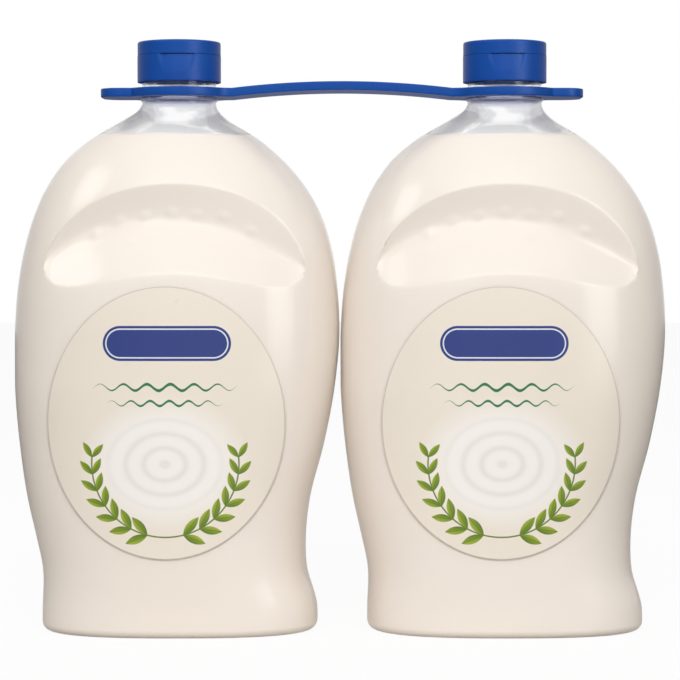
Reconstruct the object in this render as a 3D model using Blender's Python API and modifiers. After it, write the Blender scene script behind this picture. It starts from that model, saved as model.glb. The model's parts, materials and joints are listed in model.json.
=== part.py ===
"""Hand soap refill twin pack: two big clear bottles of cream soap held at the neck by one carrier handle.

+Z up, metres. X runs along the handle, the labels and thumb scoops face -Y, and z = 0 is the standing plane.
Each bottle is modelled about its own neck axis and set in place by an empty on that axis.
"""

import math

import bmesh
import bpy
import numpy as np

MM = 0.001
FIT = 0.3 * MM  # clearance between pieces that touch

# Bottle body. Each station is its rise above the one below, then how far the section reaches left and right
# of the neck axis, half its depth, how square it is (2 is an ellipse) and the rows lofted up to it.
BODY_STATIONS = (
    (8.0, 66.5, 66.9, 43.2, 2.60, 1),
    (22.0, 66.3, 61.6, 44.2, 2.55, 2),
    (16.0, 69.6, 61.3, 45.2, 2.50, 1),
    (16.0, 73.2, 63.1, 46.2, 2.50, 1),
    (28.0, 77.3, 70.2, 47.6, 2.45, 2),
    (28.0, 79.5, 75.4, 48.4, 2.45, 1),
    (27.0, 79.4, 77.6, 48.4, 2.40, 1),
    (20.0, 78.0, 76.6, 47.4, 2.40, 1),
    (19.0, 74.7, 73.8, 45.2, 2.35, 0),
    (18.0, 69.3, 67.9, 40.6, 2.30, 0),
    (15.0, 61.9, 58.9, 35.5, 2.25, 0),
    (12.0, 52.4, 47.8, 30.4, 2.20, 2),
    (10.0, 39.3, 35.3, 25.6, 2.15, 1),
    (7.0, 27.0, 23.6, 21.3, 2.10, 1),
    (5.0, 19.7, 18.8, 18.9, 2.00, 1),
)
COLUMNS = 28
BODY_WALL = 0.9 * MM
BASE_CORNER = 4.0 * MM
BASE_LAND = 4.0 * MM  # width of the flat ring it stands on
BASE_SLOPE = 7.0 * MM
BASE_PUSH_UP = 4.5 * MM
BASE_DOME = 0.85  # share of the push-up reached by its first row

# Neck and finish
NECK_RADIUS = 17.95 * MM
NECK_WALL = 1.7 * MM
NECK_FLARE = 4.0 * MM  # height over which the shoulder runs into the neck
BEAD_HEIGHT = 1.4 * MM
BEAD_REACH = 0.6 * MM
BEAD_SLANT = 0.2 * MM  # height of its sloped underside
BEAD_STEP = 0.1 * MM  # height of the step from its top back to the neck
NECK_HEIGHT = 18.8 * MM

# Finger grip, a bowed hollow on the front and back of the shoulder
GRIP_SIDE_SHIFT = -0.4 * MM
GRIP_DROP = 61.7 * MM  # the middle of the band below the top of the shoulder
GRIP_HALF_WIDTH = 61.2 * MM
GRIP_HALF_HEIGHT = 21.0 * MM
GRIP_BOW = 18.0 * MM  # how far both ends bend down
GRIP_DEPTH = 8.0 * MM
GRIP_SKEW = 0.15  # the deepest line sits this share of the half height above the middle
GRIP_TWIST = 0.2  # what that share gains at the left end and loses at the right end
GRIP_FLOOR = 0.25  # how round the floor is between its two walls
GRIP_ROWS = (-1.2, -0.98, -0.65, -0.3, -0.02, 0.15, 0.32, 0.65, 0.98, 1.2)  # shares of its half height
BEND_FOOT = 80.0 * MM  # how far below the grip's middle the lofted rows start to bend with it
BEND_HEAD = 50.0 * MM  # how far above it they run level again

# Soap
FILL_DROP = 16.8 * MM  # its surface below the top of the shoulder

# Label
LABEL_SIDE_SHIFT = -4.0 * MM
LABEL_DROP = 6.3 * MM  # its top edge below the middle of the finger grip's lower rim
LABEL_HALF_WIDTH = 56.0 * MM
LABEL_HALF_HEIGHT = 64.0 * MM
LABEL_THICKNESS = 0.2 * MM
LABEL_COLUMNS = 16
LABEL_ROWS = 5

# Flip-top cap
CAP_WALL = 1.3 * MM
THREAD_ROOM = 0.95 * MM  # between neck and skirt, where the screw threads run
CAP_HEIGHT = 12.8 * MM
CAP_DECK = 1.5 * MM
CAP_EDGE = 0.35 * MM
SPOUT_BORE = 3.2 * MM
SPOUT_WALL = 1.8 * MM
SPOUT_RISE = 1.9 * MM
LID_INSET = 0.2 * MM
LID_HEIGHT = 6.45 * MM
LID_WALL = 1.3 * MM
LID_TOP = 1.4 * MM
LID_ROUND = 1.0 * MM
PLUG_REACH = 2.4 * MM  # plug length inside the spout
HINGE_HALF_WIDTH = 5.0 * MM
HINGE_REACH = 0.6 * MM
HINGE_LAND = 2.0 * MM
HINGE_RECESS = 0.05 * MM  # how far each land stops short of the parting line
SCOOP_HALF_WIDTH = 9.2 * MM
SCOOP_FOOT_HALF_WIDTH = 6.0 * MM
SCOOP_HEIGHT = 8.5 * MM
SCOOP_DEPTH = 0.9 * MM
SCOOP_ROWS = 5
SCOOP_COLUMNS = 9
SCOOP_OVER = 1.0 * MM  # how far the cutter stands above the deck
SCOOP_RUN_OUT = 0.2 * MM  # how far its foot ends outside the skirt
SCOOP_BACK = 3.0 * MM  # the cutter's thickness outside the skirt
LINER_THICKNESS = 1.0 * MM
LINER_WIDTH = 6.0 * MM
CAP_SEGMENTS = 32

# Carrier handle
BOTTLE_GAP = 0.5 * MM
HANDLE_THICKNESS = 4.2 * MM
HANDLE_EDGE = 0.5 * MM
HANDLE_ARCH = 3.2 * MM
RING_WIDTH = 7.75 * MM
STRAP_HALF_WIDTH = 14.0 * MM
STRAP_FILLET = 9.0 * MM
TAB_REACH = 37.5 * MM  # tab end from the neck axis
TAB_HALF_WIDTH = 14.0 * MM
TAB_ROUND = 9.0 * MM
ARCH_CUTS = 10

STATIONS = np.array(BODY_STATIONS)
STATION_Z = np.cumsum(STATIONS[:, 0]) * MM
SHOULDER_Z = STATION_Z[-1] + NECK_FLARE
BEAD_Z = SHOULDER_Z + BEAD_HEIGHT
MOUTH_Z = SHOULDER_Z + NECK_HEIGHT
GRIP_Z = SHOULDER_Z - GRIP_DROP
LABEL_Z = GRIP_Z - GRIP_HALF_HEIGHT - LABEL_DROP - LABEL_HALF_HEIGHT
CAP_RADIUS = NECK_RADIUS + THREAD_ROOM + CAP_WALL
RING_BORE = NECK_RADIUS + FIT
RING_Z = BEAD_Z + FIT
LINER_Z = MOUTH_Z + FIT
DECK_UNDERSIDE_Z = LINER_Z + LINER_THICKNESS + FIT
DECK_Z = DECK_UNDERSIDE_Z + CAP_DECK
LID_Z = DECK_Z + FIT
NECK_PITCH = (STATIONS[:, 1].max() + STATIONS[:, 2].max()) * MM + BOTTLE_GAP
PACK_SHIFT = (STATIONS[:, 1].max() - STATIONS[:, 2].max()) * MM / 2


def clear_scene():
    for obj in list(bpy.data.objects):
        bpy.data.objects.remove(obj, do_unlink=True)


def collection(name):
    made = bpy.data.collections.new(name)
    bpy.context.scene.collection.children.link(made)
    return made


def material(name, color, roughness, metallic=0.0, alpha=1.0):
    made = bpy.data.materials.new(name)
    made.use_nodes = True
    shader = made.node_tree.nodes["Principled BSDF"]
    shader.inputs["Base Color"].default_value = (*color, 1.0)
    shader.inputs["Roughness"].default_value = roughness
    shader.inputs["Metallic"].default_value = metallic
    shader.inputs["Alpha"].default_value = alpha
    made.diffuse_color = (*color, alpha)
    return made


def object_from(mesh, name, group):
    obj = bpy.data.objects.new(name, mesh)
    group.objects.link(obj)
    return obj


def baked(obj):
    """The object's evaluated mesh as a mesh of its own, with the working object removed."""
    bpy.context.view_layer.update()
    evaluated = obj.evaluated_get(bpy.context.evaluated_depsgraph_get())
    mesh = bpy.data.meshes.new_from_object(evaluated)
    bpy.data.objects.remove(obj, do_unlink=True)
    mesh.shade_smooth()
    mesh.set_sharp_from_angle(angle=math.radians(35))
    return mesh


def grid_faces(rows, columns, closed=True):
    """Quads between neighbouring rows of points, round the ring when it is closed."""
    row = np.arange(rows - 1)[:, None] * columns
    column = np.arange(columns if closed else columns - 1)[None, :]
    after = (column + 1) % columns
    quads = np.stack([row + column, row + after, row + columns + after, row + columns + column], axis=-1)
    return quads.reshape(-1, 4)


def eased(height, column):
    """A smooth curve through one column of the stations, upright at the base and at the neck."""
    knots = np.append(STATION_Z, SHOULDER_Z)
    last = 2.0 if column == 4 else NECK_RADIUS / MM
    values = np.append(STATIONS[:, column], last)
    slopes = np.gradient(values, knots)
    slopes[0] = 0.0
    slopes[-1] = 0.0
    height = np.clip(height, knots[0], knots[-1])
    at = np.clip(np.searchsorted(knots, height) - 1, 0, len(knots) - 2)
    span = knots[at + 1] - knots[at]
    t = (height - knots[at]) / span
    start = (1 + 2 * t) * (1 - t) ** 2 * values[at] + t * (1 - t) ** 2 * span * slopes[at]
    end = t * t * (3 - 2 * t) * values[at + 1] + t * t * (t - 1) * span * slopes[at + 1]
    return start + end


def grip_depth(x, z):
    """How far the finger grip goes in: a bowed band with two sloped walls that meet in a rounded floor."""
    along = np.clip((x - GRIP_SIDE_SHIFT) / GRIP_HALF_WIDTH, -1.0, 1.0)
    full = np.sqrt(1 - along**4)
    middle = GRIP_Z - GRIP_BOW * along**2
    across = (z - middle) / (GRIP_HALF_HEIGHT * full + 1e-6)
    skew = GRIP_SKEW - GRIP_TWIST * along
    skewed = (across - skew) / np.where(across > skew, 1 - skew, 1 + skew)
    wall = (np.hypot(skewed, GRIP_FLOOR) - GRIP_FLOOR) / (math.hypot(1.0, GRIP_FLOOR) - GRIP_FLOOR)
    return GRIP_DEPTH * full * np.clip(1 - wall, 0.0, 1.0)


def section(z, angle, inset=0.0, widen=0.0):
    """Points of the body's outer surface at height z: a superellipse about a centre that shifts sideways."""
    left, right, depth = (eased(z, column) * MM - inset + widen for column in (1, 2, 3))
    power = 2.0 / eased(z, 4)
    cosine = np.cos(angle)
    sine = np.sin(angle)
    x = (right - left) / 2 + (right + left) / 2 * np.sign(cosine) * np.abs(cosine) ** power
    y = np.abs(sine) ** power * depth
    y = y - grip_depth(x, z) * np.clip(2 * y / depth, 0.0, 1.0)
    return np.stack([x, np.sign(sine) * y, z + 0.0 * x], axis=-1)


def bent(z, angle):
    """Heights of the lofted rows, level at the base and neck and bent along the grip between."""
    along = np.clip((section(z, angle)[..., 0] - GRIP_SIDE_SHIFT) / GRIP_HALF_WIDTH, -1.0, 1.0)
    below = np.clip((z - GRIP_Z + BEND_FOOT) / (BEND_FOOT - GRIP_HALF_HEIGHT), 0.0, 1.0)
    above = np.clip((GRIP_Z + BEND_HEAD - z) / (BEND_HEAD - GRIP_HALF_HEIGHT), 0.0, 1.0)
    share = np.minimum(below, above)
    return z - share**2 * (3 - 2 * share) * GRIP_BOW * along**2


def skin_rows():
    """Heights, insets and widenings of the lofted rows, from the middle of the base up to the mouth."""
    corner = np.radians([90.0, 45.0, 0.0])
    land = BASE_CORNER + BASE_LAND
    rows = [(BASE_PUSH_UP * BASE_DOME, land + BASE_SLOPE, 0.0), (0.0, land, 0.0)]
    rows += [(BASE_CORNER * (1 - math.sin(a)), BASE_CORNER * (1 - math.cos(a)), 0.0) for a in corner]
    levels = [GRIP_Z + share * GRIP_HALF_HEIGHT for share in GRIP_ROWS]
    lower = BASE_CORNER
    for height, count in zip(STATION_Z, STATIONS[:, 5].astype(int)):
        levels += np.linspace(lower, height, count + 1)[1:].tolist()
        lower = height
    rows += [(level, 0.0, 0.0) for level in sorted(levels)]
    rows += [(SHOULDER_Z, 0.0, 0.0), (SHOULDER_Z + BEAD_SLANT, 0.0, BEAD_REACH), (BEAD_Z, 0.0, BEAD_REACH)]
    rows += [(BEAD_Z + BEAD_STEP, 0.0, 0.0), (MOUTH_Z, 0.0, 0.0)]
    return np.array(rows)


def outer_skin():
    """The bottle's outside as one open surface: a fan at the push-up, then rows of quads to the mouth."""
    rows = skin_rows()
    angle = np.linspace(0.0, 2 * math.pi, COLUMNS, endpoint=False)
    heights = bent(rows[:, :1], angle[None, :])
    rings = section(heights, angle[None, :], rows[:, 1:2], rows[:, 2:3])
    middle = [[(STATIONS[0, 2] - STATIONS[0, 1]) / 2 * MM, 0.0, BASE_PUSH_UP]]
    points = np.concatenate([rings.reshape(-1, 3), middle])
    around = np.arange(COLUMNS)
    fan = [(len(points) - 1, int((j + 1) % COLUMNS), int(j)) for j in around]
    mesh = bpy.data.meshes.new("outer_skin")
    mesh.from_pydata(points.tolist(), [], fan + grid_faces(len(rows), COLUMNS).tolist())
    return mesh


def bottle_mesh(workshop):
    """The skin given its wall inward, thin in the body and thick in the neck."""
    skin = outer_skin()
    obj = object_from(skin, "bottle_shell", workshop)
    group = obj.vertex_groups.new(name="wall")
    for vertex in skin.vertices:
        blend = np.interp(vertex.co.z, [SHOULDER_Z - 3 * NECK_FLARE, SHOULDER_Z], [BODY_WALL, NECK_WALL])
        group.add([vertex.index], blend / NECK_WALL, "REPLACE")
    wall = obj.modifiers.new("wall", "SOLIDIFY")
    wall.thickness = NECK_WALL
    wall.offset = -1
    wall.vertex_group = "wall"
    wall.use_even_offset = True
    return baked(obj)


def soap_mesh(workshop):
    """The same skin moved in past the wall, cut level at the fill line and closed there."""
    work = bmesh.new()
    work.from_mesh(outer_skin())
    work.normal_update()
    depth = BODY_WALL + FIT
    moved = [v.co - v.normal * depth * v.calc_shell_factor() for v in work.verts]
    for vertex, place in zip(work.verts, moved):
        vertex.co = place
    parts = work.verts[:] + work.edges[:] + work.faces[:]
    level = (0.0, 0.0, SHOULDER_Z - FILL_DROP)
    cut = bmesh.ops.bisect_plane(work, geom=parts, plane_co=level, plane_no=(0, 0, 1), clear_outer=True)
    rim = [part for part in cut["geom_cut"] if isinstance(part, bmesh.types.BMEdge)]
    bmesh.ops.contextual_create(work, geom=rim)
    bmesh.ops.recalc_face_normals(work, faces=work.faces)
    mesh = bpy.data.meshes.new("soap")
    work.to_mesh(mesh)
    work.free()
    return baked(object_from(mesh, "soap_body", workshop))


def front_point(x, z, lift):
    """Points a small way off the front of the bottle at x and z."""

    def face(x, z):
        left, right, depth = (eased(z, column) * MM for column in (1, 2, 3))
        share = np.abs(x - (right - left) / 2) / ((right + left) / 2)
        y = depth * (1 - share ** eased(z, 4)) ** (1 / eased(z, 4))
        return -(y - grip_depth(x, z))

    step = 0.2 * MM
    normal = np.stack([
        (face(x + step, z) - face(x - step, z)) / (2 * step),
        -np.ones_like(x),
        (face(x, z + step) - face(x, z - step)) / (2 * step),
    ], axis=-1)
    normal /= np.linalg.norm(normal, axis=-1, keepdims=True)
    return np.stack([x, face(x, z), z], axis=-1) + normal * lift


def label_mesh(workshop):
    """An oval film that follows the front of the bottle."""
    across = np.sin(np.linspace(-math.pi / 2, math.pi / 2, LABEL_COLUMNS + 1))
    up = np.linspace(-1.0, 1.0, LABEL_ROWS + 1)
    x = np.broadcast_to(LABEL_SIDE_SHIFT + LABEL_HALF_WIDTH * across, (LABEL_ROWS + 1, LABEL_COLUMNS + 1))
    z = LABEL_Z + LABEL_HALF_HEIGHT * up[:, None] * np.sqrt(np.clip(1 - across**2, 0, 1))
    points = front_point(x, z, FIT + LABEL_THICKNESS).reshape(-1, 3)
    mesh = bpy.data.meshes.new("label")
    faces = grid_faces(LABEL_ROWS + 1, LABEL_COLUMNS + 1, closed=False)
    mesh.from_pydata(points.tolist(), [], faces.tolist())
    work = bmesh.new()
    work.from_mesh(mesh)
    bmesh.ops.remove_doubles(work, verts=work.verts, dist=0.0001)
    work.to_mesh(mesh)
    work.free()
    obj = object_from(mesh, "label_film", workshop)
    film = obj.modifiers.new("film", "SOLIDIFY")
    film.thickness = LABEL_THICKNESS
    film.offset = -1
    return baked(obj)


def turned(name, profile, workshop, cyclic):
    """A profile of (radius, height) turned about the neck axis."""
    mesh = bpy.data.meshes.new(name)
    count = len(profile)
    edges = [(i, (i + 1) % count) for i in range(count if cyclic else count - 1)]
    mesh.from_pydata([(r, 0.0, h) for r, h in profile], edges, [])
    obj = object_from(mesh, name, workshop)
    screw = obj.modifiers.new("turn", "SCREW")
    screw.steps = CAP_SEGMENTS
    screw.render_steps = CAP_SEGMENTS
    screw.use_merge_vertices = True
    screw.merge_threshold = 0.00001
    return obj


def block(name, low, high, workshop):
    """A box between two corners."""
    work = bmesh.new()
    bmesh.ops.create_cube(work, size=1.0)
    for vertex in work.verts:
        vertex.co = [lo + (hi - lo) * (c + 0.5) for lo, hi, c in zip(low, high, vertex.co)]
    mesh = bpy.data.meshes.new(name)
    work.to_mesh(mesh)
    work.free()
    return object_from(mesh, name, workshop)


def joined(obj, tool, operation):
    step = obj.modifiers.new(operation.lower(), "BOOLEAN")
    step.operation = operation
    step.object = tool
    step.solver = "EXACT"
    tool.hide_render = True
    tool.display_type = "WIRE"


def thumb_scoop(workshop):
    """Cutter for the thumb scoop: a curved wedge, deepest under the lid and running out below."""
    levels = np.linspace(0.0, 1.0, SCOOP_ROWS)[:, None]
    z = DECK_Z + SCOOP_OVER - levels * (SCOOP_HEIGHT + SCOOP_OVER)
    floor = CAP_RADIUS - SCOOP_DEPTH + (SCOOP_DEPTH + SCOOP_RUN_OUT) * levels**1.5
    half = SCOOP_HALF_WIDTH + (SCOOP_FOOT_HALF_WIDTH - SCOOP_HALF_WIDTH) * levels**2
    turn = np.linspace(-1.0, 1.0, SCOOP_COLUMNS)[None, :] * half / CAP_RADIUS
    sides = []
    for radius in (floor, floor * 0 + CAP_RADIUS + SCOOP_BACK):
        sides.append(np.stack([radius * np.sin(turn), -radius * np.cos(turn), z + 0 * turn], axis=-1))
    points = np.concatenate([side.reshape(-1, 3) for side in sides])
    inner = grid_faces(SCOOP_ROWS, SCOOP_COLUMNS, closed=False)
    index = np.arange(SCOOP_ROWS * SCOOP_COLUMNS).reshape(SCOOP_ROWS, SCOOP_COLUMNS)
    count = index.size
    outer = inner[:, ::-1] + count
    border = [*index[0, :-1], *index[:-1, -1], *index[-1, :0:-1], *index[:0:-1, 0]]
    after = border[1:] + border[:1]
    edge = [(int(b), int(a), int(a) + count, int(b) + count) for a, b in zip(border, after)]
    mesh = bpy.data.meshes.new("thumb_scoop")
    mesh.from_pydata(points.tolist(), [], inner.tolist() + outer.tolist() + edge)
    work = bmesh.new()
    work.from_mesh(mesh)
    bmesh.ops.recalc_face_normals(work, faces=work.faces)
    work.to_mesh(mesh)
    work.free()
    return object_from(mesh, "thumb_scoop", workshop)


def cap_base_mesh(workshop):
    """Skirt, deck and spout turned as one, with a thumb scoop in front and a hinge land behind."""
    foot = DECK_Z - CAP_HEIGHT
    inner = CAP_RADIUS - CAP_WALL
    profile = [
        (SPOUT_BORE + SPOUT_WALL, DECK_Z + SPOUT_RISE),
        (SPOUT_BORE + SPOUT_WALL, DECK_Z),
        (CAP_RADIUS - CAP_EDGE, DECK_Z),
        (CAP_RADIUS, DECK_Z - CAP_EDGE),
        (CAP_RADIUS, foot + CAP_EDGE),
        (CAP_RADIUS - CAP_EDGE, foot),
        (inner + CAP_EDGE, foot),
        (inner, foot + CAP_EDGE),
        (inner, DECK_UNDERSIDE_Z),
        (SPOUT_BORE, DECK_UNDERSIDE_Z),
        (SPOUT_BORE, DECK_Z + SPOUT_RISE),
    ]
    obj = turned("cap_skirt", profile, workshop, cyclic=True)
    low = (-HINGE_HALF_WIDTH, inner + CAP_WALL / 2, DECK_Z - HINGE_LAND)
    high = (HINGE_HALF_WIDTH, CAP_RADIUS + HINGE_REACH, DECK_Z - HINGE_RECESS)
    joined(obj, block("base_land", low, high, workshop), "UNION")
    joined(obj, thumb_scoop(workshop), "DIFFERENCE")
    return baked(obj)


def cap_lid_mesh(workshop):
    """The lid with the plug that shuts the spout, in the hinge's own frame."""
    radius = CAP_RADIUS - LID_INSET
    top = LID_Z + LID_HEIGHT
    ceiling = top - LID_TOP
    plug = SPOUT_BORE - FIT
    tip = DECK_Z + SPOUT_RISE - PLUG_REACH
    corner = [
        (radius - LID_ROUND * (1 - math.cos(a)), top - LID_ROUND * (1 - math.sin(a)))
        for a in np.radians([90.0, 60.0, 30.0, 0.0])
    ]
    profile = [
        (0.0, top),
        *corner,
        (radius, LID_Z),
        (radius - LID_WALL, LID_Z),
        (radius - LID_WALL, ceiling),
        (plug, ceiling),
        (plug, tip + CAP_EDGE),
        (plug - CAP_EDGE, tip),
        (0.0, tip),
    ]
    obj = turned("lid_shell", profile, workshop, cyclic=False)
    low = (-HINGE_HALF_WIDTH, radius - LID_WALL / 2, LID_Z + HINGE_RECESS)
    high = (HINGE_HALF_WIDTH, CAP_RADIUS + HINGE_REACH, LID_Z + HINGE_LAND)
    joined(obj, block("lid_land", low, high, workshop), "UNION")
    mesh = baked(obj)
    for vertex in mesh.vertices:
        vertex.co = [c - h for c, h in zip(vertex.co, hinge_place())]
    return mesh


def hinge_place():
    """A point on the lid's hinge line, in the cap's frame."""
    return (0.0, CAP_RADIUS + HINGE_REACH, DECK_Z + FIT / 2)


def liner_mesh(workshop):
    """A flat foam ring between the bottle's mouth and the deck."""
    outer = CAP_RADIUS - CAP_WALL - FIT
    inner = outer - LINER_WIDTH
    top = LINER_Z + LINER_THICKNESS
    profile = [(outer, top), (outer, LINER_Z), (inner, LINER_Z), (inner, top)]
    return baked(turned("liner_ring", profile, workshop, cyclic=True))


def arc(center, radius, start, end, count):
    """Points along an arc, angles in degrees."""
    angles = np.radians(np.linspace(start, end, count))
    return [(center[0] + radius * math.cos(a), center[1] + radius * math.sin(a)) for a in angles]


def handle_quarter():
    """One quarter of the handle's outline, from the strap's middle round the ring to the tab's end."""
    neck = NECK_PITCH / 2
    ring = RING_BORE + RING_WIDTH
    rise = STRAP_HALF_WIDTH + STRAP_FILLET
    run = math.sqrt((ring + STRAP_FILLET) ** 2 - rise**2)
    joint = math.degrees(math.atan2(rise, run))
    fillet = arc((neck - run, rise), STRAP_FILLET, -90, -joint, 4)
    tab_side = math.degrees(math.asin(TAB_HALF_WIDTH / ring))
    around = arc((neck, 0.0), ring, 180 - joint, tab_side, 12)
    end = neck + TAB_REACH
    tab = arc((end - TAB_ROUND, TAB_HALF_WIDTH - TAB_ROUND), TAB_ROUND, 90, 0, 5)
    return fillet + around[1:] + tab


def handle_mesh(workshop):
    """A flat outline given its thickness and rounded edges, then arched between the rings."""
    quarter = handle_quarter()
    half = quarter + [(x, -y) for x, y in reversed(quarter)]
    outline = half + [(-x, -y) for x, y in half]
    last = 360 - 360 / CAP_SEGMENTS
    holes = [
        arc((side * NECK_PITCH / 2, 0.0), RING_BORE + HANDLE_EDGE, 0, last, CAP_SEGMENTS) for side in (-1, 1)
    ]
    curve = bpy.data.curves.new("handle_outline", "CURVE")
    curve.dimensions = "2D"
    curve.fill_mode = "BOTH"
    curve.extrude = HANDLE_THICKNESS / 2 - HANDLE_EDGE
    curve.bevel_depth = HANDLE_EDGE
    curve.bevel_resolution = 0
    for points in [inset_outline(outline, HANDLE_EDGE), *holes]:
        spline = curve.splines.new("POLY")
        spline.points.add(len(points) - 1)
        spline.points.foreach_set("co", [value for x, y in points for value in (x, y, 0.0, 1.0)])
        spline.use_cyclic_u = True
    mesh = baked(object_from(curve, "handle_outline", workshop))
    work = bmesh.new()
    work.from_mesh(mesh)
    bmesh.ops.remove_doubles(work, verts=work.verts, dist=0.00002)
    span = NECK_PITCH / 2 - RING_BORE - RING_WIDTH
    for x in np.linspace(-span, span, ARCH_CUTS + 1):
        parts = work.verts[:] + work.edges[:] + work.faces[:]
        bmesh.ops.bisect_plane(work, geom=parts, plane_co=(x, 0, 0), plane_no=(1, 0, 0))
    for vertex in work.verts:
        share = min(1.0, abs(vertex.co.x) / span)
        vertex.co.z += RING_Z + HANDLE_THICKNESS / 2 + HANDLE_ARCH * (1 - share**2)
    bmesh.ops.recalc_face_normals(work, faces=work.faces)
    work.to_mesh(mesh)
    work.free()
    return mesh


def inset_outline(points, distance):
    """The outline moved inward, because the bevel grows it again by the same distance."""
    here = np.array(points)
    along = np.roll(here, -1, axis=0) - np.roll(here, 1, axis=0)
    along /= np.linalg.norm(along, axis=1, keepdims=True)
    turn = np.sign(np.sum(here[:, 0] * np.roll(here[:, 1], -1) - np.roll(here[:, 0], -1) * here[:, 1]))
    inward = np.stack([-along[:, 1], along[:, 0]], axis=1) * turn
    return (here + inward * distance).tolist()


def empty(name, x, group):
    made = bpy.data.objects.new(name, None)
    made.empty_display_size = 0.02
    made.location = (x, 0.0, 0.0)
    group.objects.link(made)
    return made


def place(mesh, name, parent, skin, group, location=(0.0, 0.0, 0.0)):
    obj = object_from(mesh, name, group)
    obj.parent = parent
    obj.location = location
    if not mesh.materials:
        mesh.materials.append(skin)
    return obj


def main():
    clear_scene()
    pack = collection("hand_soap_refill_pack")
    workshop = collection("cutters")
    clear_plastic = material("clear_bottle_plastic", (0.93, 0.94, 0.95), 0.08, alpha=0.35)
    soap = material("cream_soap", (0.90, 0.85, 0.78), 0.30)
    film = material("label_film", (0.93, 0.91, 0.87), 0.35)
    blue = material("blue_plastic", (0.02, 0.09, 0.38), 0.32)
    foam = material("liner_foam", (0.90, 0.90, 0.88), 0.70)
    meshes = {
        "bottle": (bottle_mesh(workshop), clear_plastic),
        "soap": (soap_mesh(workshop), soap),
        "front_label": (label_mesh(workshop), film),
        "cap_base": (cap_base_mesh(workshop), blue),
        "cap_liner": (liner_mesh(workshop), foam),
    }
    lid = cap_lid_mesh(workshop)
    for side, sign in (("left", -1), ("right", 1)):
        neck = empty(f"{side}_neck_axis", sign * NECK_PITCH / 2 + PACK_SHIFT, pack)
        for name, (mesh, skin) in meshes.items():
            place(mesh, f"{name}_{side}", neck, skin, pack)
        place(lid, f"cap_lid_{side}", neck, blue, pack, hinge_place())
    place(handle_mesh(workshop), "carrier_handle", empty("handle_middle", PACK_SHIFT, pack), blue, pack)
    bpy.context.view_layer.update()


main()
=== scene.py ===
import json
import math
import bmesh
import bpy
import numpy as np
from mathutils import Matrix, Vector


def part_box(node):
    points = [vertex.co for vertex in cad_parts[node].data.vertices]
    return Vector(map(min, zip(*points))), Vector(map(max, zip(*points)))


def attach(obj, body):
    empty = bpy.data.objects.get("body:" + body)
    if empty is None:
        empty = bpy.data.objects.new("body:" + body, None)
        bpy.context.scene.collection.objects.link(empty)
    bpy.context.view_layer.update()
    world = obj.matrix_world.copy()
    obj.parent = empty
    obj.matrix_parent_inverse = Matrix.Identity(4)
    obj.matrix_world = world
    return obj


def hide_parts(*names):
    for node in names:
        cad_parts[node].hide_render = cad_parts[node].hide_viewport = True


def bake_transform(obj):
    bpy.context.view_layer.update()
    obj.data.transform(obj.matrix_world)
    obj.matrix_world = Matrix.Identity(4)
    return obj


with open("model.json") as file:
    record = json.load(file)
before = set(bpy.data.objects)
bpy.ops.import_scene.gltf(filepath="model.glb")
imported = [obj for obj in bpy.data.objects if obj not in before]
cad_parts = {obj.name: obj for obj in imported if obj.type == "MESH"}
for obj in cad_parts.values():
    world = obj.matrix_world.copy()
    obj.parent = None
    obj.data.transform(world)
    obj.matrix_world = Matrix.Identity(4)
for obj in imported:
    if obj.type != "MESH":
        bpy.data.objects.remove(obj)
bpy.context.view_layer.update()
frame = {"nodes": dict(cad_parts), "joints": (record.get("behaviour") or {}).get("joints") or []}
mm = 0.001

# camera first: the photograph looks straight at the pack from a little over half its height

camera = {
    "distance": 1.19,      # to the plane through both necks
    "height": 0.1774,      # where the pack is seen level
    "aim": 0.1396,         # height at the middle of the picture
    "side": 0.0,
    "lens": 129.7,
    "sensor": 36.0,
    "sight": 30.0,
}

camData = bpy.data.cameras.new("packCamera")
camData.lens = camera["lens"]
camData.sensor_width = camera["sensor"]
camData.clip_end = camera["sight"]
cam = bpy.data.objects.new("packCamera", camData)
bpy.context.scene.collection.objects.link(cam)
cam.location = (camera["side"], -camera["distance"], camera["height"])
aim = Vector((camera["side"], 0.0, camera["aim"]))
cam.rotation_euler = (aim - cam.location).to_track_quat("-Z", "Y").to_euler()
bpy.context.scene.camera = cam
print("camera made")

# shader maths: a Wire is a value on its way through the nodes, and expressions on it add Math nodes


class Wire:
    def __init__(self, tree, socket):
        self.tree = tree
        self.socket = socket

    def math(self, operation, *values, clamp=False):
        node = self.tree.nodes.new("ShaderNodeMath")
        node.operation = operation
        node.use_clamp = clamp
        for slot, value in zip(node.inputs, values):
            plug(self.tree, slot, value)
        return Wire(self.tree, node.outputs[0])

    def __add__(self, other):
        return self.math("ADD", self, other)

    def __radd__(self, other):
        return self.math("ADD", other, self)

    def __sub__(self, other):
        return self.math("SUBTRACT", self, other)

    def __rsub__(self, other):
        return self.math("SUBTRACT", other, self)

    def __mul__(self, other):
        return self.math("MULTIPLY", self, other)

    def __rmul__(self, other):
        return self.math("MULTIPLY", other, self)

    def __truediv__(self, other):
        return self.math("DIVIDE", self, other)

    def __pow__(self, other):
        return self.math("POWER", self, other)

    def __abs__(self):
        return self.math("ABSOLUTE", self)

    def clamped(self):
        return self.math("ADD", self, 0.0, clamp=True)

    def sine(self):
        return self.math("SINE", self)

    def root(self):
        return self.math("SQRT", self)

    def most(self, other):
        return self.math("MAXIMUM", self, other)

    # 1 well below the edge, 0 well above it, soft over the width between
    def below(self, edge, soft):
        return ((edge - self) / soft + 0.5).clamped()


def plug(tree, slot, value):
    if isinstance(value, Wire):
        tree.links.new(value.socket, slot)
    else:
        slot.default_value = value


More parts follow.
